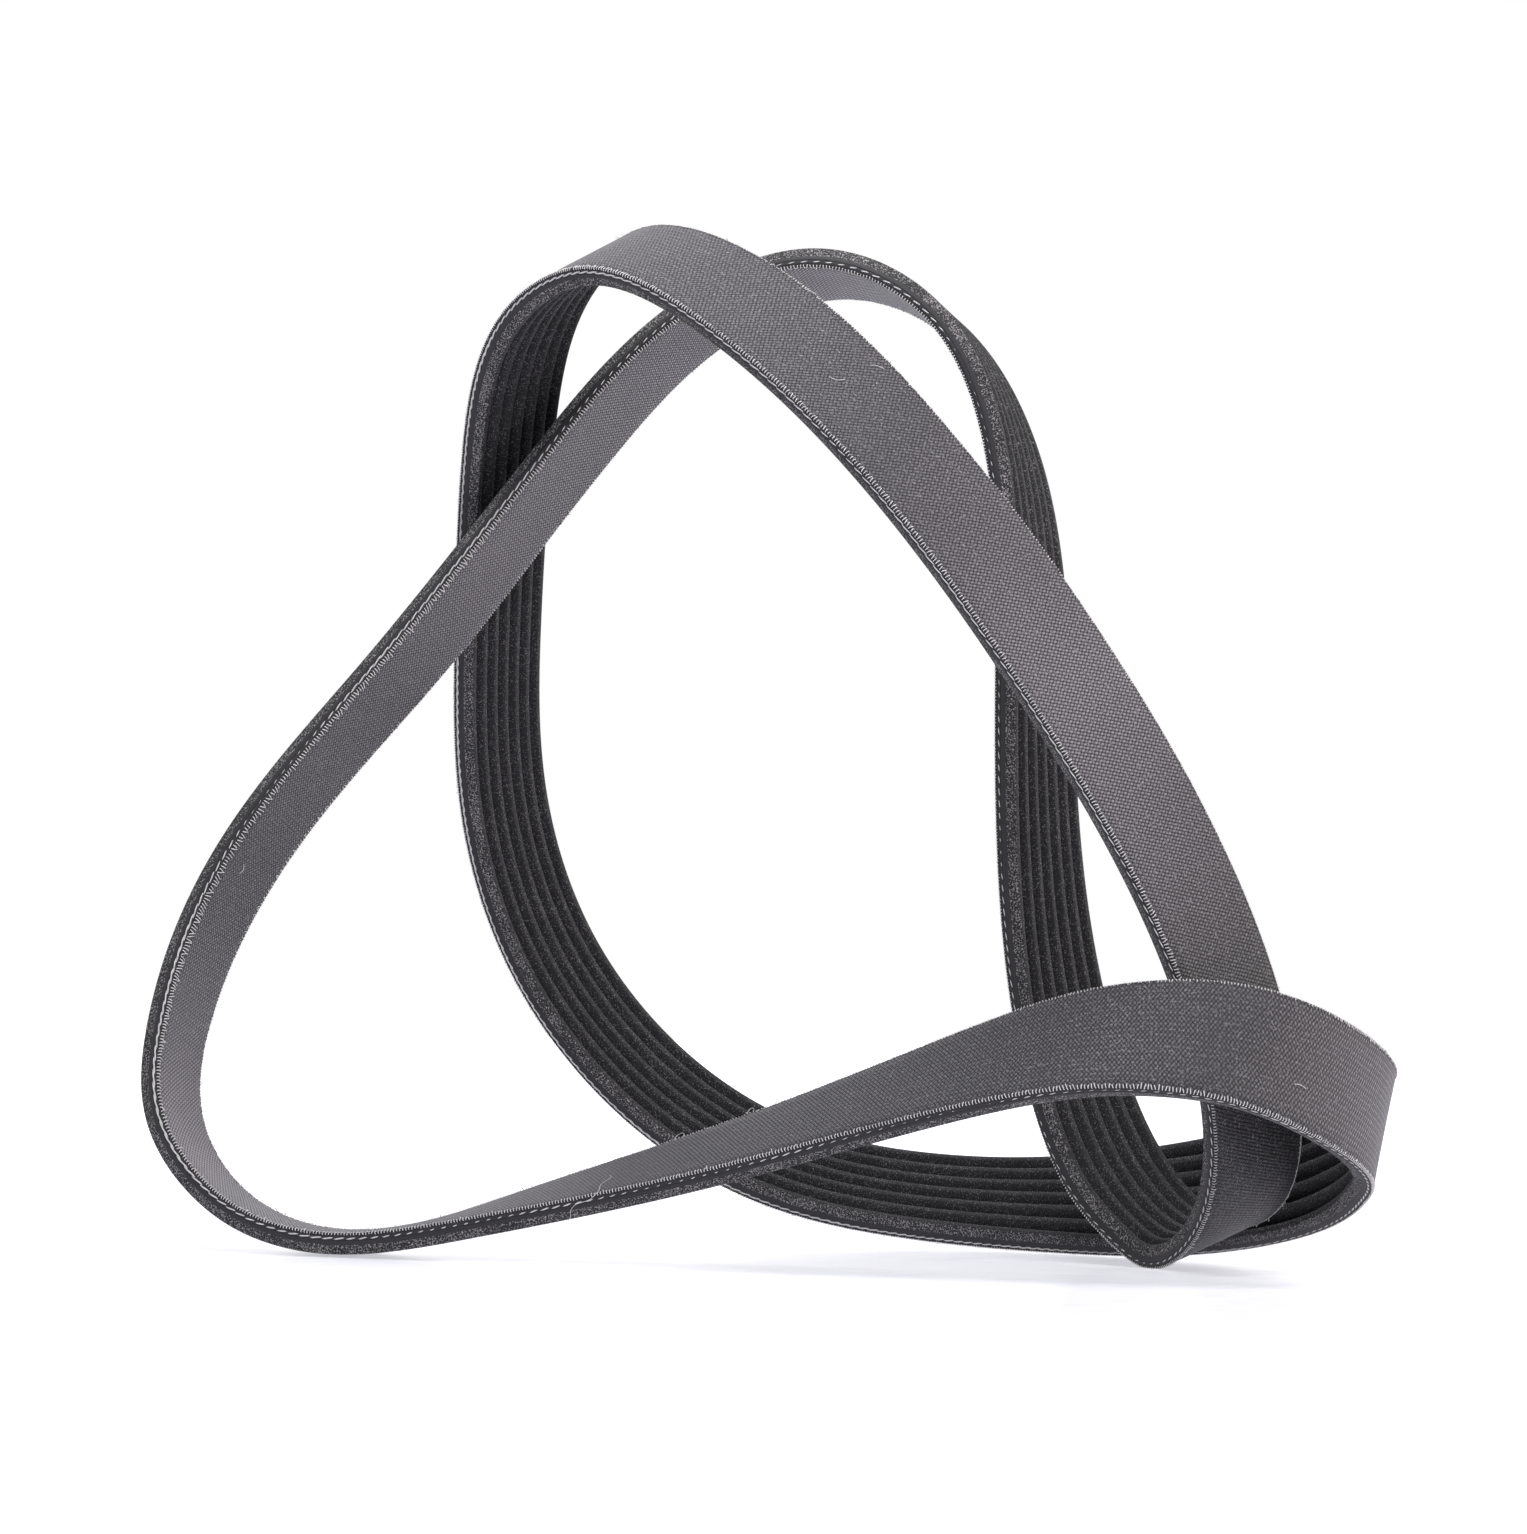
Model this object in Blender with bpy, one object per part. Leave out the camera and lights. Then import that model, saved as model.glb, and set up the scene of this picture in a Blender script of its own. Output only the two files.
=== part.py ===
# Serpentine belt: an endless seven-rib poly-V belt, uncoiled and standing on a floor in three twisted loops.
# Metres, +Z up. X runs across the front, Y runs away from it.
import math

import bpy
import numpy as np
from mathutils import Matrix, Vector

# The belt's section, seen square to its run
RIB_COUNT = 7
RIB_PITCH = 0.00356
RIB_DEPTH = 0.0028
RIB_FLANK_ANGLE = math.radians(20)
GROOVE_ROOT = 0.00025
BACKING = 0.0014

# How finely the route is cut into rings
RING_COUNT = 198
BEND_SHARE = 0.55

# The far edge of the belt stands along this direction wherever a station's lean is nought
UPRIGHT = Vector((2, 6, 3)) / 7

RUBBER_COLOUR = (0.012, 0.012, 0.013, 1.0)
RUBBER_ROUGHNESS = 0.62

# Stations of the loop in travel order: across, away and up to the middle of the back, counted in
# ROUTE_STEP, then the lean of the far edge in degrees, towards the woven back.
ROUTE_STEP = 0.001
ROUTE = [
    # Top of the left loop
    (-30, -30, 196, -1),
    (-5, -48, 184, 15),
    # Front run, down to the right
    (26, -59, 154, 19),
    (60, -62, 108, 22),
    (84, -58, 65, 23),
    (95, -43, 24, 29),
    # Bend on the floor at the right
    (92, -27, 8, 28),
    (83, -10, 4, 9),
    (73, 1, 13, -12),
    # Inner run, up again
    (62, 10, 38, -22),
    (55, 12, 75, -19),
    (52, 9, 125, -12),
    (46, 9, 165, 7),
    (32, 12, 188, 25),
    # Top of the right loop
    (12, 16, 196, 33),
    (-11, 19, 188, 29),
    # Long run down to the left
    (-38, 17, 160, 22),
    (-72, 14, 115, 24),
    (-101, 10, 77, 18),
    (-114, 6, 44, -2),
    (-113, -1, 24, -21),
    # Left foot, lying on the floor
    (-102, -7, 10.5, -30),
    (-82, -16, 4.5, -27),
    # Front band, rising to the right
    (-52, -28, 10, -16),
    (-2, -50, 25, -1),
    (38, -68, 39, 12),
    (63, -77, 45, 23),
    (88, -78, 44, 29),
    # Right end, turning back
    (109, -65, 36, 19),
    (119, -41, 27, -9),
    (112, -16, 20, -38),
    # Back run over the floor, to the left
    (93, 11, 13, -36),
    (66, 38, 9, -18),
    (33, 64, 9, -10),
    (4, 80, 15, -10),
    # Rear riser, up to the top of the left loop
    (-24, 89, 32, -13),
    (-45, 86, 58, -16),
    (-56, 72, 90, -18),
    (-57, 47, 126, -19),
    (-54, 19, 163, -22),
    (-46, -8, 188, -17),
]


def clear_scene():
    for old in list(bpy.data.objects):
        bpy.data.objects.remove(old)


def new_collection(name):
    collection = bpy.data.collections.new(name)
    bpy.context.scene.collection.children.link(collection)
    return collection


def principled(name, colour, roughness):
    material = bpy.data.materials.new(name)
    material.use_nodes = True
    shader = material.node_tree.nodes["Principled BSDF"]
    shader.inputs["Base Color"].default_value = colour
    shader.inputs["Roughness"].default_value = roughness
    shader.inputs["Metallic"].default_value = 0.0
    return material


def rib_outline():
    """Corners of the poly-V section: x is 0 on the back and falls towards the ribs, y runs from near to far edge."""
    half_width = RIB_COUNT * RIB_PITCH / 2
    half_foot = (RIB_PITCH - GROOVE_ROOT) / 2
    half_tip = half_foot - RIB_DEPTH * math.tan(RIB_FLANK_ANGLE)
    tip, root = -BACKING - RIB_DEPTH, -BACKING
    corners = [(0.0, half_width), (0.0, -half_width), (root, -half_width)]
    for rib in range(RIB_COUNT):
        middle = (rib + 0.5) * RIB_PITCH - half_width
        if rib > 0:
            corners.append((root, middle - half_foot))
        corners.append((tip, middle - half_tip))
        corners.append((tip, middle + half_tip))
        if rib < RIB_COUNT - 1:
            corners.append((root, middle + half_foot))
    corners.append((root, half_width))
    return corners


def closed_spline(knots, values, at):
    """A smooth closed curve: the periodic cubic spline through the values, read at the given places."""
    count = len(values)
    step = np.diff(knots)
    before, after = np.roll(step, 1), step
    rise = (np.roll(values, -1, 0) - values) / after[:, None]
    system = np.zeros((count, count))
    for i in range(count):
        system[i, i - 1] += before[i]
        system[i, i] += 2 * (before[i] + after[i])
        system[i, (i + 1) % count] += after[i]
    bend = np.linalg.solve(system, 6 * (rise - np.roll(rise, 1, 0)))
    span = np.clip(np.searchsorted(knots, at, side="right") - 1, 0, count - 1)
    following = (span + 1) % count
    length = step[span][:, None]
    a = (knots[span + 1] - at)[:, None]
    b = (at - knots[span])[:, None]
    return (
        (bend[span] * a**3 + bend[following] * b**3) / (6 * length)
        + (values[span] / length - bend[span] * length / 6) * a
        + (values[following] / length - bend[following] * length / 6) * b
    )


def route_rings():
    """Ring centres in metres and leans in radians, closer together where the route bends."""
    stations = np.array(ROUTE, float)
    stations[:, :3] *= ROUTE_STEP
    stations[:, 3] = np.radians(stations[:, 3])
    gaps = np.linalg.norm(np.roll(stations[:, :3], -1, 0) - stations[:, :3], axis=1)
    knots = np.concatenate([[0.0], np.cumsum(gaps)])
    fine = np.linspace(0.0, knots[-1], 4001)
    points = closed_spline(knots, stations, fine)[:, :3]
    moves = np.diff(points, axis=0)
    lengths = np.linalg.norm(moves, axis=1)
    headings = moves / lengths[:, None]
    turns = np.linalg.norm(headings - np.roll(headings, 1, 0), axis=1)
    share = (1 - BEND_SHARE) * lengths / lengths.sum() + BEND_SHARE * turns / turns.sum()
    travelled = np.concatenate([[0.0], np.cumsum(share)])
    places = np.interp(np.arange(RING_COUNT) / RING_COUNT, travelled, fine)
    rings = closed_spline(knots, stations, places)
    return rings[:, :3], rings[:, 3]


def standing():
    """The turn that stands the curve's own Z along UPRIGHT."""
    across = (Vector((1, 0, 0)) - UPRIGHT * UPRIGHT.x).normalized()
    return Matrix((across, UPRIGHT.cross(across), UPRIGHT)).transposed()


def poly_curve(name, points, collection):
    data = bpy.data.curves.new(name, "CURVE")
    data.resolution_u = 1
    spline = data.splines.new("POLY")
    spline.points.add(len(points) - 1)
    for point, place in zip(spline.points, points):
        point.co = (*place, 1.0)
    spline.use_cyclic_u = True
    curve = bpy.data.objects.new(name, data)
    collection.objects.link(curve)
    return curve


def make_belt(parts, guides):
    section = poly_curve("belt_section", [(x, y, 0.0) for x, y in rib_outline()], guides)
    section.data.dimensions = "2D"
    section.data.fill_mode = "NONE"
    section.hide_render = True
    section.display_type = "WIRE"

    centres, leans = route_rings()
    turn = standing()
    belt = poly_curve("serpentine_belt", [turn.transposed() @ Vector(c) for c in centres], parts)
    belt.data.dimensions = "3D"
    belt.data.twist_mode = "Z_UP"
    belt.data.bevel_mode = "OBJECT"
    belt.data.bevel_object = section
    belt.data.use_fill_caps = False
    for point, lean in zip(belt.data.splines[0].points, leans):
        point.tilt = lean
    belt.matrix_world = turn.to_4x4()
    belt.data.materials.append(principled("belt_rubber", RUBBER_COLOUR, RUBBER_ROUGHNESS))
    return belt


def stand_on_floor(belt):
    """Moves the belt so that its lowest corner is at Z 0 and its box is centred on the origin."""
    bpy.context.view_layer.update()
    graph = bpy.context.evaluated_depsgraph_get()
    shape = belt.evaluated_get(graph)
    corners = [belt.matrix_world @ v.co for v in shape.to_mesh().vertices]
    shape.to_mesh_clear()
    low = [min(c[axis] for c in corners) for axis in range(3)]
    high = [max(c[axis] for c in corners) for axis in range(3)]
    belt.location = (-(low[0] + high[0]) / 2, -(low[1] + high[1]) / 2, -low[2])


def main():
    clear_scene()
    parts = new_collection("serpentine_belt")
    guides = new_collection("guides")
    belt = make_belt(parts, guides)
    stand_on_floor(belt)


main()
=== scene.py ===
# %% [markdown]
# # A serpentine belt, dressed for its portrait
#
# The object is an endless ribbed drive belt for a car's accessories. It was taken out of its sleeve,
# stood on a white table and left to twist into three loops.
# The solid model holds its course and its section. This script adds what the eye reads as a belt:
# the woven cover, the cut edge with its cord and frayed threads, and the rubber full of short fibres.

# %% The solid model, which stays where it is
import math

import bpy
import numpy as np
from mathutils import Matrix, Vector


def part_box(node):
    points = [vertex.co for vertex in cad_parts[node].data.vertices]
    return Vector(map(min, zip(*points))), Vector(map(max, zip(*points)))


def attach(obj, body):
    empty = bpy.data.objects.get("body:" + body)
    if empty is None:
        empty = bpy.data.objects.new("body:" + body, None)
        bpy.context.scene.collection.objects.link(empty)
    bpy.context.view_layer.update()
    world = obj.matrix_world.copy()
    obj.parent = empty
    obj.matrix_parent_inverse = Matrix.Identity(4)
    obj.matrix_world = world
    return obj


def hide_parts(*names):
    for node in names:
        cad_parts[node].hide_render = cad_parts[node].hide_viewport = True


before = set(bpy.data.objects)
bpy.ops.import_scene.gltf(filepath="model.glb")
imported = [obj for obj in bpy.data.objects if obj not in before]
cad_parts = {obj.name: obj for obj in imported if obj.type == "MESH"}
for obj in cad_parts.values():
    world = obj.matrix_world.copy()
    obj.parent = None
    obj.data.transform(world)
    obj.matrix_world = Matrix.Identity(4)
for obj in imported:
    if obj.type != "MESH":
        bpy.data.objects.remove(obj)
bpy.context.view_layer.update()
MM = 0.001

# %% [markdown]
# ## Three helpers
#
# Colours are easiest to think about as the hex values of a picture editor, which are sRGB, while
# the renderer counts light linearly. One function converts.
# A second one adds a shader node, sets it and wires it, so that a material reads as a recipe.
# It takes a number, a colour or another node for each input. A third one starts a new material.


# %% Colour and node helpers
def linear(hex_colour):
    """sRGB hex to the linear red, green, blue and alpha that a shader takes."""
    channels = [int(hex_colour[i:i + 2], 16) / 255 for i in (1, 3, 5)]
    return (*[c / 12.92 if c <= 0.04045 else ((c + 0.055) / 1.055) ** 2.4 for c in channels], 1.0)


def add(tree, kind, inputs=None, **settings):
    """Adds a node with its settings. An input is a value, a socket, or a node whose first output is taken."""
    node = tree.nodes.new("ShaderNode" + kind)
    for name, value in settings.items():
        setattr(node, name, value)
    for key, value in (inputs or {}).items():
        if isinstance(value, bpy.types.Node):
            value = value.outputs[0]
        if isinstance(value, bpy.types.NodeSocket):
            tree.links.new(value, node.inputs[key])
        else:
            node.inputs[key].default_value = value
    return node


def new_finish(name):
    """An empty material of this name, its node tree and its shader."""
    material = bpy.data.materials.new(name)
    material.use_nodes = True
    return material, material.node_tree, material.node_tree.nodes["Principled BSDF"]


print("mid grey #808080 is", round(linear("#808080")[0], 3), "in linear light")

# %% [markdown]
# ## The course of the belt
#
# A belt is a ribbon: it bends easily over its flat side, twists a little, and never bends edgewise.
# Its course is a list of stations, each with a place for the middle of the woven back and a lean
# for the way the ribbon faces there. The solid model was drawn from the same list, so threads and
# cords that follow it lie on the solid's surface.

# %% Stations of the loop
# Across, away and up in millimetres, then the lean of the far edge in degrees, towards the back.
ROUTE = [
    # Top of the left loop
    (-30, -30, 196, -1),
    (-5, -48, 184, 15),
    # Front run, down to the right
    (26, -59, 154, 19),
    (60, -62, 108, 22),
    (84, -58, 65, 23),
    (95, -43, 24, 29),
    # Bend on the floor at the right
    (92, -27, 8, 28),
    (83, -10, 4, 9),
    (73, 1, 13, -12),
    # Inner run, up again
    (62, 10, 38, -22),
    (55, 12, 75, -19),
    (52, 9, 125, -12),
    (46, 9, 165, 7),
    (32, 12, 188, 25),
    # Top of the right loop
    (12, 16, 196, 33),
    (-11, 19, 188, 29),
    # Long run down to the left
    (-38, 17, 160, 22),
    (-72, 14, 115, 24),
    (-101, 10, 77, 18),
    (-114, 6, 44, -2),
    (-113, -1, 24, -21),
    # Left foot, lying on the floor
    (-102, -7, 10.5, -30),
    (-82, -16, 4.5, -27),
    # Front band, rising to the right
    (-52, -28, 10, -16),
    (-2, -50, 25, -1),
    (38, -68, 39, 12),
    (63, -77, 45, 23),
    (88, -78, 44, 29),
    # Right end, turning back
    (109, -65, 36, 19),
    (119, -41, 27, -9),
    (112, -16, 20, -38),
    # Back run over the floor, to the left
    (93, 11, 13, -36),
    (66, 38, 9, -18),
    (33, 64, 9, -10),
    (4, 80, 15, -10),
    # Rear riser, up to the top of the left loop
    (-24, 89, 32, -13),
    (-45, 86, 58, -16),
    (-56, 72, 90, -18),
    (-57, 47, 126, -19),
    (-54, 19, 163, -22),
    (-46, -8, 188, -17),
]
UPRIGHT = Vector((2, 6, 3)) / 7
print(len(ROUTE), "stations")

# %% [markdown]
# ## A curve with no kinks
#
# A chain of Bezier handles could run through the stations too, but each handle would need care.
# A periodic cubic spline finds the slopes itself: it is the curve that a thin springy strip takes
# through the stations, which suits a belt. It is then cut into equal steps of 1.6 mm.


# %% A smooth closed curve through the stations
def closed_spline(knots, values, at):
    """The periodic cubic spline through the values, read at the given places."""
    count = len(values)
    step = np.diff(knots)
    before, after = np.roll(step, 1), step
    rise = (np.roll(values, -1, 0) - values) / after[:, None]
    system = np.zeros((count, count))
    for i in range(count):
        system[i, i - 1] += before[i]
        system[i, i] += 2 * (before[i] + after[i])
        system[i, (i + 1) % count] += after[i]
    bend = np.linalg.solve(system, 6 * (rise - np.roll(rise, 1, 0)))
    span = np.clip(np.searchsorted(knots, at, side="right") - 1, 0, count - 1)
    following = (span + 1) % count
    length = step[span][:, None]
    a = (knots[span + 1] - at)[:, None]
    b = (at - knots[span])[:, None]
    return (
        (bend[span] * a**3 + bend[following] * b**3) / (6 * length)
        + (values[span] / length - bend[span] * length / 6) * a
        + (values[following] / length - bend[following] * length / 6) * b
    )


RINGS = 900
stations = np.array(ROUTE, float)
stations[:, :3] *= MM
stations[:, 3] = np.radians(stations[:, 3])
gaps = np.linalg.norm(np.roll(stations[:, :3], -1, 0) - stations[:, :3], axis=1)
knots = np.concatenate([[0.0], np.cumsum(gaps)])
fine = np.linspace(0.0, knots[-1], 12001)
steps = np.linalg.norm(np.diff(closed_spline(knots, stations, fine)[:, :3], axis=0), axis=1)
travelled = np.concatenate([[0.0], np.cumsum(steps)])
BELT_LENGTH = travelled[-1]
rings = closed_spline(knots, stations, np.interp(np.arange(RINGS) * BELT_LENGTH / RINGS, travelled, fine))
print("round the back the belt measures", round(BELT_LENGTH / MM), "mm")

# %% [markdown]
# ## Directions along the belt
#
# Threads and cords have to follow the belt, so at every ring the script keeps three directions:
# along the run, across it to the far edge, and out of the woven back.


# %% Run, across and out at every ring
def unit(rows):
    return rows / np.linalg.norm(rows, axis=1)[:, None]


centres, leans = rings[:, :3], rings[:, 3]
ahead = unit(np.roll(centres, -1, 0) - centres)
along = unit(ahead + np.roll(ahead, 1, 0))
level = unit(np.cross(along, np.array(UPRIGHT)))
across = np.cross(level, along) * np.cos(leans)[:, None] + level * np.sin(leans)[:, None]
outward = np.cross(along, across)


def on_belt(run, side, height):
    """Points at a distance along the belt, across it from the middle, and out from the back, in metres."""
    place = (np.asarray(run, float) / BELT_LENGTH % 1.0) * RINGS
    low = place.astype(int) % RINGS
    share = (place - place.astype(int))[:, None]

    def between(rows):
        return rows[low] * (1 - share) + rows[(low + 1) % RINGS] * share

    return (
        between(centres)
        + between(across) * (np.asarray(side) * np.ones(len(run)))[:, None]
        + between(outward) * (np.asarray(height) * np.ones(len(run)))[:, None]
    )


print("ring spacing", round(BELT_LENGTH / RINGS / MM, 2), "mm")

# %% [markdown]
# ## The section
#
# This is the common profile with ribs 3.56 mm apart: a woven cover, a layer that holds the tensile
# cords, and seven ribs ground into the rubber below. On the real belt no corner is sharp, so each
# corner of the outline is cut back a little, and the cut side gets the two shallow lines at which
# the layers meet. Its rubber stays smooth for another 0.9 mm past the roots of the grooves, where
# the grinding of the sides ended.

# %% Outline of the section
RIB_COUNT = 7
RIB_PITCH = 3.56 * MM
RIB_DEPTH = 2.8 * MM
RIB_FLANK_ANGLE = math.radians(20)
GROOVE_ROOT = 0.25 * MM
BACKING = 1.4 * MM
# Thickness of the cloth, and how far the smooth cut side reaches past the roots of the grooves
COVER = 0.5 * MM
CUSHION = 0.9 * MM
# The lines at which the layers meet in the cut side
LINE_DEPTH = 0.12 * MM
LINE_HALF = 0.10 * MM
# How far each kind of corner is cut back
BACK_CUT = 0.18 * MM
LINE_CUT = 0.03 * MM
ROOT_CUT = 0.12 * MM
TIP_CUT = 0.16 * MM
HALF_WIDTH = RIB_COUNT * RIB_PITCH / 2
# Strips of faces across the woven back
BACK_STRIPS = 8


def cut_side(edge):
    """Corners of a cut side from the back down, where edge is -1 for the near side and 1 for the far one."""
    corners = []
    for height in (-COVER, -BACKING):
        corners.append((height + LINE_HALF, edge * HALF_WIDTH, LINE_CUT, "side"))
        corners.append((height, edge * (HALF_WIDTH - LINE_DEPTH), LINE_CUT, "side"))
        corners.append((height - LINE_HALF, edge * HALF_WIDTH, LINE_CUT, "side"))
    slope = math.tan(RIB_FLANK_ANGLE)
    foot = (-BACKING - CUSHION, edge * (HALF_WIDTH - GROOVE_ROOT / 2 - CUSHION * slope))
    corners.append((*foot, LINE_CUT, "flank" if edge < 0 else "side"))
    return corners


def belt_outline():
    """Corners as height above the back, distance across, cut-back, and finish of the face that follows."""
    half_foot = (RIB_PITCH - GROOVE_ROOT) / 2
    half_tip = half_foot - RIB_DEPTH * math.tan(RIB_FLANK_ANGLE)
    tip, root = -BACKING - RIB_DEPTH, -BACKING
    corners = [(0.0, HALF_WIDTH, BACK_CUT, "back"), (0.0, -HALF_WIDTH, BACK_CUT, "side")]
    corners += cut_side(-1)
    for rib in range(RIB_COUNT):
        middle = (rib + 0.5) * RIB_PITCH - HALF_WIDTH
        last = rib == RIB_COUNT - 1
        if rib > 0:
            corners.append((root, middle - half_foot, ROOT_CUT, "rib"))
        corners.append((tip, middle - half_tip, TIP_CUT, "rib"))
        corners.append((tip, middle + half_tip, TIP_CUT, "flank" if last else "rib"))
        if not last:
            corners.append((root, middle + half_foot, ROOT_CUT, "rib"))
    return corners + cut_side(1)[::-1]


def softened(corners):
    """Cuts each corner back along both of its sides, and adds points along the wide woven back."""
    points, labels = [], []
    count = len(corners)
    for i, (x, y, cut, label) in enumerate(corners):
        here = Vector((x, y))
        for other in (corners[i - 1], corners[(i + 1) % count]):
            way = Vector(other[:2]) - here
            points.append(here + way.normalized() * min(cut, way.length * 0.45))
        labels += [corners[i - 1][3] if label != "side" else label, label]
        if label == "back":
            start, end = points[-1], Vector(corners[i + 1][:2])
            for part in range(1, BACK_STRIPS):
                points.append(start.lerp(end, part / BACK_STRIPS))
                labels.append("back")
    return points, labels


section_points, section_labels = softened(belt_outline())
print(len(section_points), "points round the section")

# %% [markdown]
# ## The belt itself
#
# Blender can sweep one curve along another: the course is a closed poly line, the section is its
# bevel object, and the twist of every point is the lean. Turning the curve's own Z to the direction
# from which the leans are counted keeps the sweep steady all the way round.


# %% Sweep the section along the course
def poly_curve(name, points):
    """A closed curve of straight pieces through the points."""
    data = bpy.data.curves.new(name, "CURVE")
    spline = data.splines.new("POLY")
    spline.points.add(len(points) - 1)
    spline.points.foreach_set("co", [value for point in points for value in (*point, 1.0)])
    spline.use_cyclic_u = True
    curve = bpy.data.objects.new(name, data)
    bpy.context.collection.objects.link(curve)
    return curve


def swept_belt():
    """The swept section as a mesh object in the solid model's axes."""
    across_up = (Vector((1, 0, 0)) - UPRIGHT * UPRIGHT.x).normalized()
    turn = Matrix((across_up, UPRIGHT.cross(across_up), UPRIGHT)).transposed()
    section = poly_curve("belt_section", [(p.x, p.y, 0.0) for p in section_points])
    section.data.dimensions = "2D"
    section.data.fill_mode = "NONE"
    course = poly_curve("belt_course", [turn.transposed() @ Vector(c) for c in centres])
    course.data.dimensions = "3D"
    course.data.twist_mode = "Z_UP"
    course.data.bevel_mode = "OBJECT"
    course.data.bevel_object = section
    course.data.splines[0].points.foreach_set("tilt", leans)
    bpy.context.view_layer.update()
    swept = course.evaluated_get(bpy.context.evaluated_depsgraph_get())
    mesh = bpy.data.meshes.new_from_object(swept)
    mesh.transform(turn.to_4x4())
    for guide in (course, section):
        bpy.data.objects.remove(guide)
    belt = bpy.data.objects.new("belt_body", mesh)
    bpy.context.collection.objects.link(belt)
    return belt


belt_body = swept_belt()
print(len(belt_body.data.vertices), "vertices,", len(belt_body.data.polygons), "faces")

# %% [markdown]
# ## A map in real sizes
#
# Cloth has to lie along the belt however the belt twists. A box or camera mapping would slide over
# it, so the sweep is read back as a mesh and gets its own map, which counts metres: along the belt
# one way and round the section the other. The same numbers sort its faces by finish.


# %% Map the belt in metres, sort its faces and stand it in the solid's place
def map_belt(belt):
    """Gives each face its finish and a map in metres: along the belt, and round the section."""
    mesh = belt.data
    count = len(section_points)
    # The sweep numbers its points ring by ring, and each ring has all the points of the section.
    walls = [(section_points[(j + 1) % count] - section_points[j]).length for j in range(count)]
    round_section = np.concatenate([[0.0], np.cumsum(walls)])
    corner = np.empty(len(mesh.loops), int)
    mesh.loops.foreach_get("vertex_index", corner)
    ring, point = corner // count, corner % count
    faces_of = np.repeat(np.arange(len(mesh.polygons)), 4)
    # Faces that close the loop end at the full length of the belt, not at 0, and so round the section.
    last_ring = np.zeros(len(mesh.polygons), bool)
    last_point = np.zeros(len(mesh.polygons), bool)
    np.logical_or.at(last_ring, faces_of, ring == RINGS - 1)
    np.logical_or.at(last_point, faces_of, point == count - 1)
    along_map = np.where(last_ring[faces_of] & (ring == 0), RINGS, ring) * BELT_LENGTH / RINGS
    first = last_point[faces_of] & (point == 0)
    round_map = np.where(first, round_section[-1], round_section[point])
    mapping = mesh.uv_layers.new(name="belt_run")
    mapping.data.foreach_set("uv", np.stack([along_map, round_map], 1).ravel().astype(np.float32))
    # A face has the finish of the section's side that starts at its lowest-numbered point.
    lowest_point = np.full(len(mesh.polygons), count)
    np.minimum.at(lowest_point, faces_of, np.where(first, count, point))
    order = {"back": 0, "side": 1, "rib": 2, "flank": 3}
    finish = np.array([order[section_labels[j]] for j in range(count)])
    mesh.polygons.foreach_set("material_index", finish[lowest_point % count])
    mesh.update()


map_belt(belt_body)
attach(belt_body, "root")
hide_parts("serpentine_belt")

low, high = (Vector(corner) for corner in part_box("serpentine_belt"))
own = np.array([v.co for v in belt_body.data.vertices])
SEAT = Vector((
    (low.x + high.x) / 2 - (own[:, 0].min() + own[:, 0].max()) / 2,
    (low.y + high.y) / 2 - (own[:, 1].min() + own[:, 1].max()) / 2,
    low.z - own[:, 2].min(),
))
belt_body.location = SEAT
print("the course moves by", [round(v / MM, 2) for v in SEAT], "mm to stand on the floor")

# %% [markdown]
# ## Woven cover
#
# The back is a cotton and polyester cloth soaked in rubber and laid on the bias, so that it
# stretches with the belt: its two sets of threads cross the belt at equal angles. They lie about
# 0.5 mm apart, about two pixels of the picture, so they are drawn coarser, at 0.7 mm.
# An image of cloth would do, but counting threads with a little arithmetic stays sharp close up:
# the whole part of the count says which thread this is, and the rest says how near its crown.


# %% Thread counts of the bias cloth
THREAD_GAP = 0.70 * MM
BIAS = math.radians(57)


def bias_threads(tree, place):
    """Height of the plain weave, from 0 in the hollows to 1 on the crowns."""
    crowns, cells = [], []
    for way in (1, -1):
        across_threads = (math.sin(BIAS) / THREAD_GAP, way * math.cos(BIAS) / THREAD_GAP, 0.0)
        product = add(tree, "VectorMath", {0: place, 1: across_threads}, operation="DOT_PRODUCT")
        count = product.outputs["Value"]
        part = add(tree, "Math", {0: count}, operation="FRACT")
        offset = add(tree, "Math", {0: part, 1: 0.5}, operation="SUBTRACT")
        squared = add(tree, "Math", {0: offset, 1: offset}, operation="MULTIPLY")
        # A thread is a parabola across: 0 at its sides, 1 in its middle
        crowns.append(add(tree, "Math", {0: squared, 1: -4.0, 2: 1.0}, operation="MULTIPLY_ADD"))
        cells.append(add(tree, "Math", {0: count}, operation="FLOOR"))
    both = add(tree, "Math", {0: cells[0], 1: cells[1]}, operation="ADD")
    which_on_top = add(tree, "Math", {0: both, 1: 2.0}, operation="FLOORED_MODULO")
    # Each thread arches over the one that it crosses, and the second set lies a little lower
    heights = []
    for crown, crossing, base in ((*crowns, 0.4), (*reversed(crowns), 0.15)):
        hump = add(tree, "Math", {0: crossing, 1: 0.6, 2: base}, operation="MULTIPLY_ADD")
        heights.append(add(tree, "Math", {0: crown, 1: hump}, operation="MULTIPLY"))
    return add(tree, "Mix", {0: which_on_top, 2: heights[0], 3: heights[1]}, data_type="FLOAT")


print("threads", THREAD_GAP / MM, "mm apart, crossing the belt at", round(math.degrees(BIAS)), "degrees")

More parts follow.
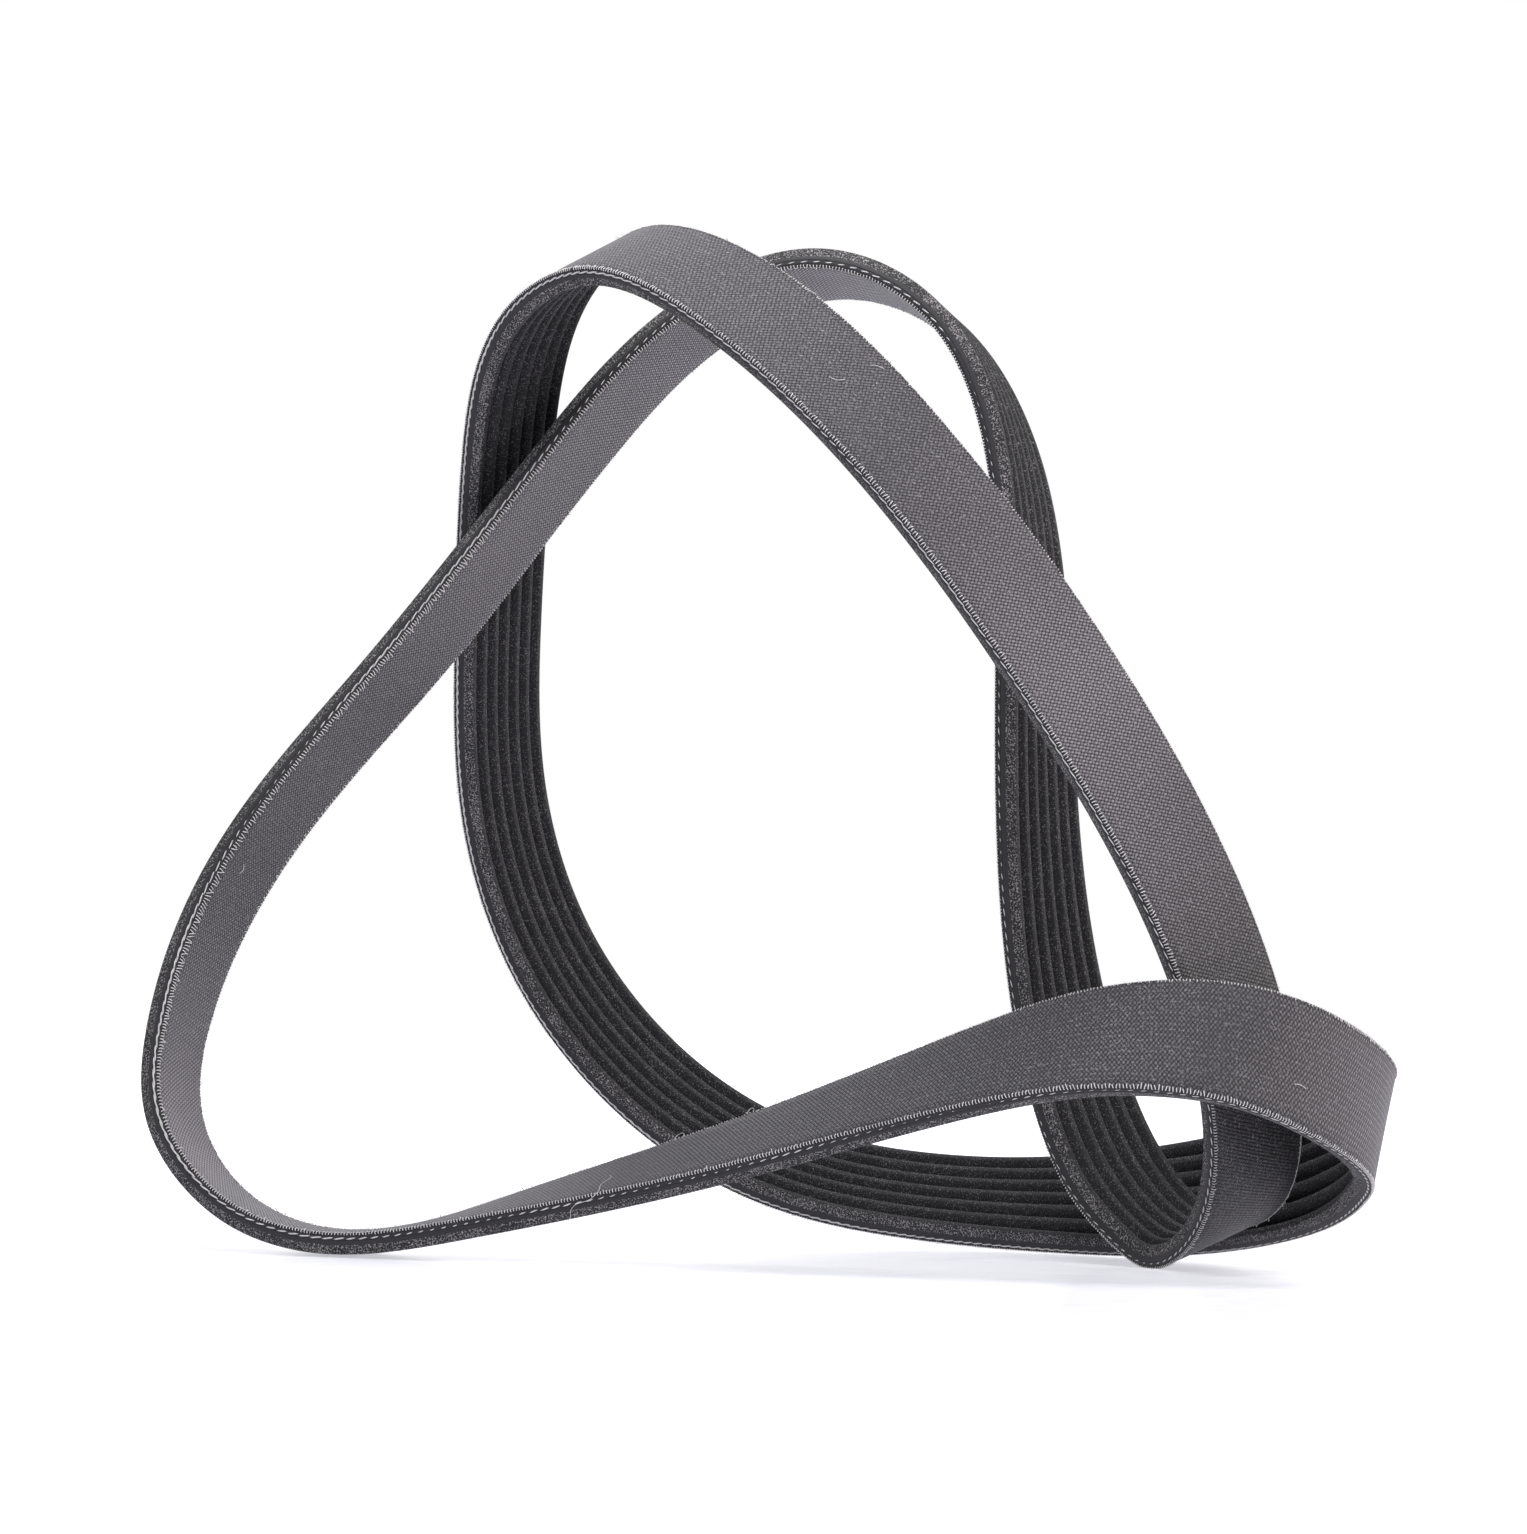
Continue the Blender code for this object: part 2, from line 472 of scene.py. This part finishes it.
# %% [markdown]
# ## Finish of the woven cover
#
# Dull rubber fills the hollows of the cloth (roughness 0.85). The crowns of the threads are rubbed
# paler and smoother (0.32), and the thin skin of rubber over them mirrors the white tent at a
# grazing look, which is what the coat is for. Fuzz gives the specks and a little sheen.
# In the photograph the cloth is not one grey all round: it is paler on most of the bends and
# darker along the front band. Part of that is wear and part is light that four lamps do not give.
# A list of tones along the belt, chosen by eye, carries both. A painted mask would do as well, but
# A list of tones along the belt carries both. A painted mask would do as well, but a list can be read and
# changed.


# %% Material of the woven cover
# Distance round the belt in millimetres, and how pale the cover is there against its usual tone. The tones
# are partly wear and partly painted light and shade: painted light high on the front run near 133 mm and at
# the right end near 1010 mm, painted shade where the front run passes behind the front band near 235 mm and
# along the front band near 870 to 950 mm, painted sheen inside the right loop near 500 mm and at the left
# foot near 735 mm, and a painted highlight at the top of the left loop near 1400 mm.
COVER_WEAR_AND_PAINTED_LIGHT = [
    (0, 0.8), (80, 0.82), (133, 1.85), (195, 0.68), (235, 0.12), (300, 0.8), (430, 1.0), (478, 1.8),
    (500, 2.6), (525, 2.2), (570, 1.7), (640, 1.2), (675, 0.74), (700, 1.05), (735, 2.6), (760, 1.75),
    (800, 1.25), (870, 0.6), (950, 0.63), (1010, 1.5), (1100, 1.0), (1400, 1.6), (1430, 1.1), (1447, 0.85),
]
PALEST = max(level for _, level in COVER_WEAR_AND_PAINTED_LIGHT)


def woven_cover():
    material, tree, shader = new_finish("rubberised_bias_cloth")
    mapped = add(tree, "UVMap", uv_map="belt_run")
    # The threads wander by a third of a millimetre, in waves about 17 mm long
    wander = add(tree, "TexNoise", {"Vector": mapped, "Scale": 60.0, "Detail": 1.0})
    centred = add(tree, "VectorMath", {0: wander.outputs["Color"], 1: (0.5, 0.5, 0.5)}, operation="SUBTRACT")
    place = add(tree, "VectorMath", {0: centred, 1: (0.35 * MM,) * 3, 2: mapped}, operation="MULTIPLY_ADD")
    threads = bias_threads(tree, place)
    rubbed = add(tree, "MapRange", {0: threads, 1: 0.15, 2: 0.95, 3: 0.0, 4: 1.0})
    hollow, crown = linear("#19181c"), linear("#7d797f")
    cloth = add(tree, "Mix", {0: rubbed, 6: hollow, 7: crown}, data_type="RGBA").outputs[2]
    # Faint clouds about 40 mm wide, as of handling
    solid = add(tree, "TexCoord").outputs["Object"]
    clouds = add(tree, "TexNoise", {"Vector": solid, "Scale": 26.0, "Detail": 4.0, "Roughness": 0.6})
    tone = add(tree, "MapRange", {0: clouds, 1: 0.3, 2: 0.7, 3: 0.82, 4: 1.14})
    cloth = add(tree, "Mix", {0: 1.0, 6: cloth, 7: tone}, data_type="RGBA", blend_type="MULTIPLY").outputs[2]
    # A colour ramp ends at 1, so it holds each tone as a share of the palest
    # The ramp carries the tones of wear and of painted light and shade listed above.
    run = add(tree, "SeparateXYZ", {"Vector": mapped})
    share = add(tree, "Math", {0: run, 1: BELT_LENGTH}, operation="DIVIDE")
    ramp = add(tree, "ValToRGB", {"Fac": share})
    stops = ramp.color_ramp.elements
    for distance, _ in COVER_WEAR_AND_PAINTED_LIGHT[1:-1]:
        stops.new(distance * MM / BELT_LENGTH)
    for stop, (_, level) in zip(stops, COVER_WEAR_AND_PAINTED_LIGHT):
        stop.color = (level / PALEST, level / PALEST, level / PALEST, 1.0)
    tone = add(tree, "VectorMath", {0: ramp, 1: (PALEST,) * 3}, operation="MULTIPLY")
    cloth = add(tree, "Mix", {0: 1.0, 6: cloth, 7: tone}, data_type="RGBA", blend_type="MULTIPLY").outputs[2]
    # Specks of pale fuzz about 0.4 mm wide
    fuzz = add(tree, "TexNoise", {"Vector": solid, "Scale": 2300.0, "Detail": 1.0, "Roughness": 0.6})
    specks = add(tree, "MapRange", {0: fuzz, 1: 0.58, 2: 0.75, 3: 0.0, 4: 0.7})
    cloth = add(tree, "Mix", {0: specks, 6: cloth, 7: linear("#a5a2a8")}, data_type="RGBA").outputs[2]
    tree.links.new(cloth, shader.inputs["Base Color"])
    polish = add(tree, "MapRange", {0: threads, 1: 0.3, 2: 0.9, 3: 0.85, 4: 0.32})
    tree.links.new(polish.outputs[0], shader.inputs["Roughness"])
    shader.inputs["Specular IOR Level"].default_value = 0.25
    shader.inputs["Sheen Weight"].default_value = 0.1
    shader.inputs["Sheen Roughness"].default_value = 0.3
    shader.inputs["Sheen Tint"].default_value = linear("#e6e0ee")
    shader.inputs["Coat Weight"].default_value = 0.25
    shader.inputs["Coat Roughness"].default_value = 0.3
    relief = add(tree, "Bump", {"Height": threads, "Distance": 0.14 * MM, "Strength": 0.8})
    tree.links.new(relief.outputs[0], shader.inputs["Coat Normal"])
    tree.links.new(relief.outputs[0], shader.inputs["Normal"])
    return material


# %% [markdown]
# ## Rubber of the cut side and of the ribs
#
# The belt is cut from a wide sleeve with a knife, so the side of its cord layer is smooth black
# rubber with faint drag lines along the run. The ribs are ground, and the rubber is filled with
# short pale fibres that the grinding bares: a dark surface with a salt-like grain about 0.3 mm
# wide, a pixel or two of the picture. Vulcanised rubber has an IOR of about 1.52. Cut, it keeps a
# dull gleam (roughness 0.55), and ground, it is almost without gloss (0.7).


# %% Materials of the rubber
def knife_cut_rubber():
    material, tree, shader = new_finish("knife_cut_rubber")
    mapped = add(tree, "UVMap", uv_map="belt_run")
    # Drag lines about 8 mm long and 0.2 mm wide
    drawn_out = add(tree, "Mapping", {"Vector": mapped, "Scale": (120.0, 5200.0, 1.0)})
    drag = add(tree, "TexNoise", {"Vector": drawn_out, "Scale": 1.0, "Detail": 3.0})
    dark, light = linear("#171619"), linear("#363438")
    skin = add(tree, "Mix", {0: drag, 6: dark, 7: light}, data_type="RGBA").outputs[2]
    tree.links.new(skin, shader.inputs["Base Color"])
    shader.inputs["Roughness"].default_value = 0.55
    shader.inputs["IOR"].default_value = 1.52
    shader.inputs["Specular IOR Level"].default_value = 0.35
    relief = add(tree, "Bump", {"Height": drag, "Distance": 0.05 * MM, "Strength": 0.6})
    tree.links.new(relief.outputs[0], shader.inputs["Normal"])
    return material


def ground_rubber(name, rubber_tone, fibre_tone, fewest, most):
    """Rubber full of short fibres. The last two numbers say how much of it is fibre, patch by patch."""
    material, tree, shader = new_finish(name)
    solid = add(tree, "TexCoord").outputs["Object"]
    grain = add(tree, "TexNoise", {"Vector": solid, "Scale": 3300.0, "Detail": 1.0, "Roughness": 0.6})
    patches = add(tree, "TexNoise", {"Vector": solid, "Scale": 160.0, "Detail": 3.0})
    # The grain is near 0.5 in most places, so a fibre shows where it passes this threshold
    few, many = 0.68 - 0.2 * fewest, 0.68 - 0.2 * most
    threshold = add(tree, "MapRange", {0: patches, 1: 0.3, 2: 0.7, 3: few, 4: many})
    fibres = add(tree, "MapRange", {0: grain, 1: threshold, 2: 0.75, 3: 0.0, 4: 1.0})
    rubber, fibre = linear(rubber_tone), linear(fibre_tone)
    skin = add(tree, "Mix", {0: fibres, 6: rubber, 7: fibre}, data_type="RGBA").outputs[2]
    tree.links.new(skin, shader.inputs["Base Color"])
    shader.inputs["Roughness"].default_value = 0.7
    shader.inputs["IOR"].default_value = 1.52
    shader.inputs["Specular IOR Level"].default_value = 0.35
    relief = add(tree, "Bump", {"Height": grain, "Distance": 0.12 * MM, "Strength": 0.8})
    tree.links.new(relief.outputs[0], shader.inputs["Normal"])
    return material


finishes = [
    woven_cover(),
    knife_cut_rubber(),
    ground_rubber("ground_fibre_filled_rubber", "#212023", "#8c898c", 0.35, 0.75),
    # The outer flanks get paler fibres, and more of them, than the rib faces: partly their own grain, partly
    # painted light for the light that they catch and the rib faces do not.
    ground_rubber("outer_flank_fibres_and_painted_light", "#242325", "#c4c0c2", 0.7, 1.1),
]
for finish in finishes:
    belt_body.data.materials.append(finish)
belt_body.data.shade_smooth()
# The cut-back corners turn by less than this and look round, and the edges of the ribs stay crisp.
belt_body.data.set_sharp_from_angle(angle=math.radians(50))
print("finishes", [m.name for m in belt_body.data.materials])

# %% [markdown]
# ## Cord at the cut side
#
# Polyester cords run round the belt in a very flat spiral, so the knife always meets one at the
# edge. There it lies about 1 mm under the back: two strands twisted on each other that come out of
# the rubber for a stretch, show only the crest of each turn as a row of dashes, and sink again.
# A painted line could not give all three looks. Strands 0.32 mm thick laid half in the rubber do,
# by how far out they lie, and a full turn in 4.8 mm puts the dashes 2.4 mm apart.

# %% Twisted cord in the side
STRAND_RADIUS = 0.16 * MM
STRAND_TURN = 4.8 * MM
CORD_DEPTH = 1.05 * MM
CORD_STEP = 0.45 * MM
# From the axis of a strand to that of the pair, and from there to the outermost point of the cord
STRAND_SWING = STRAND_RADIUS * 0.85
FLUSH = STRAND_RADIUS + STRAND_SWING


def slow_wave(run, length, seed):
    """A smooth random wave along the belt, about -1 to 1, that closes on itself."""
    turns = np.random.default_rng(seed)
    total = np.zeros(len(run))
    base = max(1, round(BELT_LENGTH / length))
    for harmonic in (1, 2, 3):
        waves = base * harmonic + turns.integers(0, 2)
        total += np.sin(2 * math.pi * (waves * run / BELT_LENGTH + turns.random())) / harmonic
    return total / 1.5


def tube_mesh(name, paths, radius, sides, closed=False):
    """One mesh of thin tubes along the paths, none of them under the floor."""
    data = bpy.data.curves.new(name, "CURVE")
    data.dimensions = "3D"
    data.bevel_depth = radius
    # A round bevel has four sides and two more for each step of resolution.
    data.bevel_resolution = sides // 2 - 2
    data.use_fill_caps = not closed
    for path in paths:
        path[:, 2] = np.maximum(path[:, 2], radius - SEAT.z)
        spline = data.splines.new("POLY")
        spline.points.add(len(path) - 1)
        spline.points.foreach_set("co", np.column_stack([path, np.ones(len(path))]).ravel())
        spline.use_cyclic_u = closed
    holder = bpy.data.objects.new(name + "_path", data)
    bpy.context.collection.objects.link(holder)
    bpy.context.view_layer.update()
    shape = holder.evaluated_get(bpy.context.evaluated_depsgraph_get())
    mesh = bpy.data.meshes.new_from_object(shape)
    bpy.data.objects.remove(holder)
    piece = bpy.data.objects.new(name, mesh)
    bpy.context.collection.objects.link(piece)
    mesh.shade_smooth()
    return piece


def dress(piece, finish):
    """Seats a piece on the belt, gives it its material and says what it rides on."""
    piece.location = SEAT
    piece.data.materials.clear()
    piece.data.materials.append(finish)
    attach(piece, "root")
    triangles = sum(len(p.vertices) - 2 for p in piece.data.polygons)
    print(piece.name, triangles, "triangles")


def cord_strands(edge, bared):
    """Paths of the two strands in one side, where edge is -1 for the near side and 1 for the far one."""
    run = np.arange(int(BELT_LENGTH / CORD_STEP)) * CORD_STEP
    turns = round(BELT_LENGTH / STRAND_TURN)
    out = bared(run) - FLUSH + 0.03 * MM * slow_wave(run, 0.05, 11 + edge)
    paths = []
    for strand in (0.0, math.pi):
        angle = 2 * math.pi * turns * run / BELT_LENGTH + strand
        side = edge * (HALF_WIDTH + out + STRAND_SWING * np.cos(angle))
        height = -CORD_DEPTH + STRAND_SWING * np.sin(angle)
        paths.append(on_belt(run, side, height))
    return paths


# Distance round the belt in millimetres, and how far the near cord stands out of the cut there
NEAR_CORD_OUT = [
    (0, 0.17), (60, 0.16), (150, 0.14), (230, 0.08),
    (330, 0.06), (440, 0.04), (500, 0.05), (560, 0.08), (590, 0.18), (625, 0.16), (645, 0.05),
    (672, 0.10), (688, 0.24), (735, 0.22), (750, 0.14),
    (800, 0.07), (840, 0.04), (930, 0.05), (980, 0.08), (1040, 0.14),
    (1100, 0.19), (1180, 0.20), (1240, 0.22), (1290, 0.24), (1350, 0.26), (1400, 0.22),
]


def bared_near(run):
    places, amounts = np.array(NEAR_CORD_OUT).T * MM
    return np.interp(run, places, amounts, period=BELT_LENGTH) + 0.02 * MM * slow_wave(run, 0.13, 3)


def bared_far(run):
    return (0.04 + 0.07 * slow_wave(run, 0.2, 5)) * MM


def polyester_cord():
    material, tree, shader = new_finish("twisted_polyester_cord")
    solid = add(tree, "TexCoord").outputs["Object"]
    rub = add(tree, "TexNoise", {"Vector": solid, "Scale": 900.0, "Detail": 2.0})
    dull, clean = linear("#d6d2d3"), linear("#faf8f8")
    white = add(tree, "Mix", {0: rub, 6: dull, 7: clean}, data_type="RGBA").outputs[2]
    tree.links.new(white, shader.inputs["Base Color"])
    shader.inputs["Roughness"].default_value = 0.6
    shader.inputs["Sheen Weight"].default_value = 0.2
    return material


cord_finish = polyester_cord()
for name, edge, bared in (("near_cord", -1, bared_near), ("far_cord", 1, bared_far)):
    dress(tube_mesh(name, cord_strands(edge, bared), STRAND_RADIUS, 6, closed=True), cord_finish)

# %% [markdown]
# ## Frayed threads along the cloth's edges
#
# The knife cuts every thread of the bias cloth, and the white ends fray: they stand in the
# thickness of the cloth and curl over onto the back as a comb of short strokes. Threads 0.5 mm
# apart, cut on the slant, end about 0.6 mm apart along the edge.
# Hair particles could do this, but a loop over the belt places each end where its thread is, with
# its own length and lean.

# %% White thread ends
END_GAP = 0.64 * MM
END_RADIUS = 0.095 * MM
# Distance round the belt, and how far the ends curl over onto the back there, both in millimetres
COMB_REACH = [
    (0, 0.5), (130, 0.45), (250, 0.4), (520, 0.5), (600, 0.9), (640, 1.1), (690, 1.2), (735, 0.7),
    (800, 0.35), (870, 0.45), (950, 0.5), (1050, 0.4), (1250, 0.35), (1440, 0.5),
]


def frayed_ends(edge, seed):
    draws = np.random.default_rng(seed)
    starts = np.arange(int(BELT_LENGTH / END_GAP)) * END_GAP
    count = len(starts)
    fray = slow_wave(starts, 0.09, seed + 1)
    places, reaches = np.array(COMB_REACH).T
    usual = np.interp(starts, places * MM, reaches, period=BELT_LENGTH)
    reach = (usual * (1.0 + 0.4 * fray + draws.uniform(-0.5, 0.5, count))).clip(0.12, 1.6) * MM
    lean = draws.uniform(-0.35, 0.35, count)
    lift = draws.uniform(0.06, 0.12, count) * MM
    # About one end in sixteen stands up from the cloth
    stray = draws.random(count) < 0.06
    lift[stray] += draws.uniform(0.1, 0.4, stray.sum()) * MM
    drop = draws.uniform(0.30, 0.46, count) * MM
    # From the cut edge up, round the corner of the cloth and over onto the back
    rows = []
    for way, side, height in (
        (-0.4, 0.02 * MM, -drop),
        (-0.1, 0.10 * MM, -0.15 * MM),
        (0.1, -0.08 * MM, 0.06 * MM),
        (0.6, -0.5 * reach, lift),
        (1.0, -reach, lift * 1.2),
    ):
        rows.append(on_belt(starts + lean * reach * way, edge * (HALF_WIDTH + side), height))
    return np.stack(rows, 1)


def frayed_thread():
    material, tree, shader = new_finish("frayed_cotton_thread")
    shader.inputs["Base Color"].default_value = linear("#fbf8f8")
    shader.inputs["Roughness"].default_value = 0.8
    shader.inputs["Sheen Weight"].default_value = 0.3
    return material


thread_finish = frayed_thread()
for name, edge, seed in (("near_frayed_ends", -1, 21), ("far_frayed_ends", 1, 31)):
    dress(tube_mesh(name, frayed_ends(edge, seed), END_RADIUS, 4), thread_finish)

# %% [markdown]
# ## Loose fibres
#
# A few fibres have come off the edges: three small loops on the far edge of the front band, a
# longer one that hangs over its cut side, and four crumbs of lint on the cloth. They are single
# threads 0.11 mm thick, each laid along a few chosen points and rounded between them.

# %% Fibres that came loose
FIBRE_RADIUS = 0.055 * MM


def smooth_path(points):
    """A thread through (run, across, out) points in millimetres, rounded by a Catmull-Rom curve."""
    ends = np.array([points[0], *points, points[-1]], float) * MM
    path = []
    for a, b, c, d in zip(ends, ends[1:], ends[2:], ends[3:]):
        for u in np.linspace(0, 1, 8, endpoint=False):
            bend = 2 * a - 5 * b + 4 * c - d + u * (3 * (b - c) + d - a)
            path.append(b + 0.5 * u * (c - a + u * bend))
    path.append(ends[-1])
    run, side, out = np.array(path).T
    return on_belt(run, side, out)


def edge_loop(run, width, rise):
    """A small loop that stands on the far edge at this distance along the belt, in millimetres."""
    points = []
    for angle in np.linspace(-0.25, 1.25, 10) * math.pi:
        swing = math.sin(angle)
        points.append((run - width * math.cos(angle), 12.6 + rise * (0.3 + swing), 0.1 + 0.3 * swing))
    return points


loose = [
    # The loops on the far edge
    edge_loop(830, 0.6, 0.9),
    edge_loop(837, 1.0, 1.1),
    edge_loop(853, 0.7, 1.0),
    # The long one over the cut side
    [(827, -1, 0.05), (828.5, -4, 0.3), (828, -8, 0.4), (829, -12, 0.3), (827, -12.9, -0.8),
     (824, -12.8, -1.2), (822.5, -12.9, -2.2), (822, -12.8, -3.4), (821, -12.6, -4.2)],
    # Lint on the cloth
    [(58, -2, 0.08), (59.5, -1, 0.14), (60, 0.5, 0.08)],
    [(60, 8, 0.08), (60.6, 9, 0.12), (62, 10, 0.08)],
    [(670, -5, 0.1), (671, -4.2, 0.3), (672, -4.4, 0.1)],
    [(967, -4.6, 0.08), (968.5, -4.3, 0.14), (970, -4.5, 0.08)],
]
dress(tube_mesh("loose_fibres", [smooth_path(points) for points in loose], FIBRE_RADIUS, 4), thread_finish)

# %% [markdown]
# ## Table and tent
#
# The belt stands on a sheet of white opal acrylic in a white tent, and the sheet runs on as the backdrop. Its
# white is its own colour and the plain glow of light that has sunk into it, which rises to paper white 0.6 m
# away and leaves the belt its soft shadow. Camera rays, reflections and rays through clear things see that
# glow in full. Rays that light the belt see a weaker one, the light such a sheet throws back up. Wiping has
# left it very fine scratches, which are drawn as painted glints: extra glow along each scratch. The tent is
# the same: white where it is seen or mirrored, and faint as a lamp.

# %% White table and tent
# The glow of the sheet near the belt and as a lamp, and between which distances it turns paper white
NEAR_GLOW, LAMP_GLOW = 0.52, 0.22
PAPER_STARTS, PAPER_FULL = 0.18, 0.6
TENT_AS_LAMP = 0.1


def seen_plainly(tree):
    """1 for rays from the camera, reflections and clear things, 0 for the rays that light other things."""
    path = add(tree, "LightPath").outputs
    plain = add(tree, "Math", {0: path["Is Camera Ray"], 1: path["Is Glossy Ray"]}, operation="MAXIMUM")
    return add(tree, "Math", {0: plain, 1: path["Is Transmission Ray"]}, operation="MAXIMUM")


def white_acrylic():
    material, tree, shader = new_finish("white_acrylic_sheet")
    shader.inputs["Base Color"].default_value = linear("#ececf2")
    shader.inputs["Roughness"].default_value = 0.22
    shader.inputs["Specular IOR Level"].default_value = 0.1
    solid = add(tree, "TexCoord").outputs["Object"]
    away = add(tree, "VectorMath", {0: solid}, operation="LENGTH").outputs["Value"]
    paper = add(tree, "MapRange", {0: away, 1: PAPER_STARTS, 2: PAPER_FULL, 3: NEAR_GLOW, 4: 1.0})
    plain = add(tree, "Mix", {0: seen_plainly(tree), 2: LAMP_GLOW, 3: paper}, data_type="FLOAT")
    # Scratches about 9 mm long and 1.4 mm wide, drawn broader than real ones so that they show. They are
    # painted glints, added to the glow of the sheet.
    turned = {"Rotation": (0.0, 0.0, 0.12), "Scale": (110.0, 700.0, 1.0)}
    drawn_out = add(tree, "Mapping", {"Vector": solid, **turned})
    wiping = add(tree, "TexNoise", {"Vector": drawn_out, "Scale": 1.0, "Detail": 3.0})
    scratch_glints = add(tree, "MapRange", {0: wiping, 1: 0.5, 2: 0.72, 3: 0.0, 4: 0.2})
    strength = add(tree, "Math", {0: plain, 1: scratch_glints}, operation="ADD")
    glow = add(tree, "Emission", {"Color": linear("#f7f7ff"), "Strength": strength})
    both = add(tree, "AddShader", {0: shader, 1: glow})
    tree.links.new(both.outputs[0], tree.nodes["Material Output"].inputs["Surface"])
    return material


bpy.ops.mesh.primitive_plane_add(size=12.0)
table = bpy.context.object
table.name = "white_table"
table.data.materials.append(white_acrylic())

world = bpy.data.worlds.new("white_tent")
bpy.context.scene.world = world
world.use_nodes = True
tent = world.node_tree
brightness = add(tent, "Mix", {0: seen_plainly(tent), 2: TENT_AS_LAMP, 3: 1.0}, data_type="FLOAT")
tent.links.new(brightness.outputs[0], tent.nodes["Background"].inputs["Strength"])
tent.nodes["Background"].inputs["Color"].default_value = linear("#ffffff")
print("table and tent in place")

# %% [markdown]
# ## Lamps
#
# The tones on the belt say where the light came from: the cloth is brightest where it turns to the
# right, what faces down is dark, and nothing throws a hard shadow. A large box on the right does
# the first, and a large one high behind and two small ones above and before the belt do the rest.
# A ring of many lamps would be as soft, but it would flatten the ribs.


# %% Soft boxes
BELT_MIDDLE = Vector((0.0, 0.0, 0.09))


def soft_box(name, place, size, watts, colour):
    """A square lamp that looks at the middle of the belt."""
    lamp = bpy.data.lights.new(name, "AREA")
    lamp.size = size
    lamp.energy = watts
    lamp.color = linear(colour)[:3]
    holder = bpy.data.objects.new(name, lamp)
    holder.location = place
    holder.rotation_euler = (BELT_MIDDLE - Vector(place)).to_track_quat("-Z", "Y").to_euler()
    bpy.context.collection.objects.link(holder)


soft_box("rear_top_box", (0.0, 0.9, 0.9), 0.8, 1.0, "#f0f2ff")
soft_box("right_box", (1.1, 0.0, 0.35), 0.8, 4.7, "#fff6ee")
soft_box("near_top_box", (0.0, -0.1, 0.55), 0.3, 1.5, "#ffffff")
soft_box("front_box", (0.0, -0.5, 0.42), 0.3, 1.0, "#f8f8ff")

# %% [markdown]
# ## Camera
#
# Matching the belt's edges to the photograph puts the lens 1 m in front of the belt, 50 mm above
# the table, tilted up by 2.7 degrees and rolled by 0.9, with a focal length of 3.3 frame widths.
# The Standard view keeps the greys as they are, where a film look would bend them.

# %% Camera at the photograph's place
SENSOR = 36.0
# Focal length and width of the photograph, both in its pixels
PHOTO_FOCAL, PHOTO_WIDTH = 5036, 1527
TILT_UP, ROLL = 0.0473, 0.0160
STANDPOINT = Vector((0.0, -1.0, 0.0495))
camera_data = bpy.data.cameras.new("portrait_camera")
camera_data.sensor_fit = "HORIZONTAL"
camera_data.sensor_width = SENSOR
camera_data.lens = SENSOR * PHOTO_FOCAL / PHOTO_WIDTH
camera_data.clip_end = 20.0
camera = bpy.data.objects.new("portrait_camera", camera_data)
bpy.context.collection.objects.link(camera)
look = Vector((0.0, math.cos(TILT_UP), math.sin(TILT_UP)))
right = Vector((1.0, 0.0, 0.0))
up = right.cross(look)
turned_right = right * math.cos(ROLL) + up * math.sin(ROLL)
turned_up = up * math.cos(ROLL) - right * math.sin(ROLL)
pose = Matrix((turned_right, turned_up, -look)).transposed().to_4x4()
pose.translation = STANDPOINT + SEAT
camera.matrix_world = pose
bpy.context.scene.camera = camera
bpy.context.scene.view_settings.view_transform = "Standard"
print("lens", round(camera_data.lens, 1), "mm at", [round(v, 3) for v in pose.translation])
